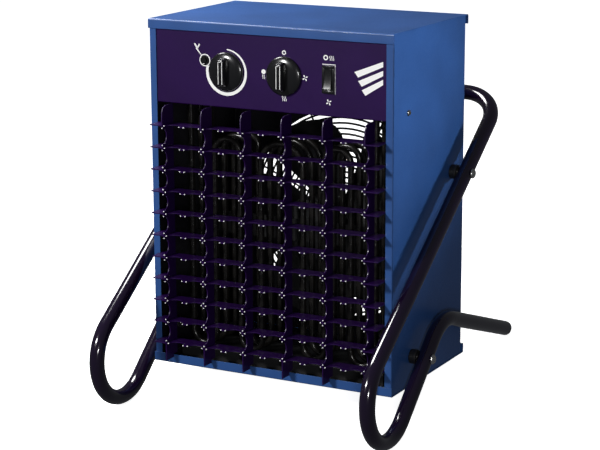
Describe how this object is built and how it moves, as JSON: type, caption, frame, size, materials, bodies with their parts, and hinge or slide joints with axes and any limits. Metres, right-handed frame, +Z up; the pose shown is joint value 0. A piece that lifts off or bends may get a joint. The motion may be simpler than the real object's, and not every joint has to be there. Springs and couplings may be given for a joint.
{
  "type": "portable electric fan heater",
  "caption": "Portable industrial electric fan heater: blue sheet-metal casing with egg-crate outlet grille, dial controls and a bent tube carrying frame.",
  "frame": {"origin": "centre of the footprint, on the floor that the frame's loops and rear legs stand on", "axes": "+Z up, -Y out of the outlet grille (front), +X to the right as seen from the front; the casing leans 7.6 degrees back about X"},
  "size_m": [0.419, 0.4638, 0.4974],
  "materials": {
    "blue_enamel": "semi-gloss powder coat",
    "navy_enamel": "semi-gloss dark navy powder coat",
    "frame_enamel": "gloss near-black powder coat",
    "guard_enamel": "black coated wire",
    "motor_enamel": "satin black",
    "control_plastic": "moulded, lightly glossy",
    "spacer_plastic": "moulded",
    "inlet_plastic": "moulded, fine texture",
    "contact_brass": "bright",
    "element_sheath": "heat-darkened stainless",
    "impeller_enamel": "satin black",
    "switch_plastic": "moulded",
    "contactor_plastic": "moulded",
    "galvanised_sheet": "galvanised",
    "zinc_plated_steel": "zinc plated"
  },
  "bodies": {
    "heater_body": {"bottom_cover": "blue_enamel", "compartment_floor": "galvanised_sheet", "contactor": "contactor_plastic", "control_panel": "navy_enamel", "element_rest": "motor_enamel", "fan_motor": "motor_enamel", "handle_joiner": "zinc_plated_steel", "heating_element_1": "element_sheath", "heating_element_2": "element_sheath", "heating_element_3": "element_sheath", "inlet_hinge_pin": "zinc_plated_steel", "inlet_housing": "inlet_plastic", "inlet_pin_1": "contact_brass", "inlet_pin_2": "contact_brass", "inlet_pin_3": "contact_brass", "inlet_pin_4": "contact_brass", "inlet_pin_5": "contact_brass", "left_frame_tube": "frame_enamel", "left_leg_cap": "spacer_plastic", "left_lower_bolt": "zinc_plated_steel", "left_lower_nut": "zinc_plated_steel", "left_lower_spacer": "spacer_plastic", "left_side_panel": "blue_enamel", "left_side_screw": "zinc_plated_steel", "left_upper_bolt": "zinc_plated_steel", "left_upper_nut": "zinc_plated_steel", "left_upper_spacer": "spacer_plastic", "motor_bracket": "motor_enamel", "outlet_grille": "navy_enamel", "overheat_cutout": "switch_plastic", "rear_guard": "guard_enamel", "rear_panel": "blue_enamel", "rear_service_cover": "blue_enamel", "reset_collar": "control_plastic", "right_frame_tube": "frame_enamel", "right_leg_cap": "spacer_plastic", "right_lower_bolt": "zinc_plated_steel", "right_lower_nut": "zinc_plated_steel", "right_lower_spacer": "spacer_plastic", "right_side_panel": "blue_enamel", "right_side_screw": "zinc_plated_steel", "right_upper_bolt": "zinc_plated_steel", "right_upper_nut": "zinc_plated_steel", "right_upper_spacer": "spacer_plastic", "rocker_housing": "control_plastic", "selector_body": "switch_plastic", "terminal_block": "switch_plastic", "thermostat_body": "switch_plastic", "top_cover": "blue_enamel"},
    "fan_rotor": {"fan_impeller": "impeller_enamel", "motor_shaft": "zinc_plated_steel", "impeller_nut": "zinc_plated_steel"},
    "thermostat_dial": {"thermostat_knob": "control_plastic", "thermostat_spindle": "zinc_plated_steel"},
    "selector_dial": {"selector_knob": "control_plastic", "selector_spindle": "zinc_plated_steel"},
    "rocker": {"rocker_button": "control_plastic"},
    "reset": {"reset_button": "control_plastic"},
    "inlet_cover": {"inlet_lid": "inlet_plastic"}
  },
  "joints": [
    {"name": "fan_spin", "type": "hinge", "parent": "heater_body", "child": "fan_rotor", "pos_m": [0, 0.09273, 0.19143], "axis": [0, 0.9913, -0.1315], "continuous": true},
    {"name": "thermostat_turn", "type": "hinge", "parent": "heater_body", "child": "thermostat_dial", "pos_m": [-0.061, -0.06098, 0.43576], "axis": [0, 0.9913, -0.1315], "range_deg": [0, 280]},
    {"name": "selector_turn", "type": "hinge", "parent": "heater_body", "child": "selector_dial", "pos_m": [0.0226, -0.06098, 0.43576], "axis": [0, 0.9913, -0.1315], "range_deg": [0, 270]},
    {"name": "rocker_tilt", "type": "hinge", "parent": "heater_body", "child": "rocker", "pos_m": [0.0855, -0.05801, 0.43536], "axis": [1, 0, 0], "range_deg": [0, 16]},
    {"name": "reset_push", "type": "slide", "parent": "heater_body", "child": "reset", "axis": [0, 0.9913, -0.1315], "range_m": [0, 0.0025], "stiffness_N_per_m": 150},
    {"name": "inlet_lid_swing", "type": "hinge", "parent": "heater_body", "child": "inlet_cover", "pos_m": [0, 0.19641, 0.43996], "axis": [1, 0, 0], "range_deg": [0, 110], "stiffness_Nm_per_rad": 0.02, "springref_deg": -28.65}
  ]
}
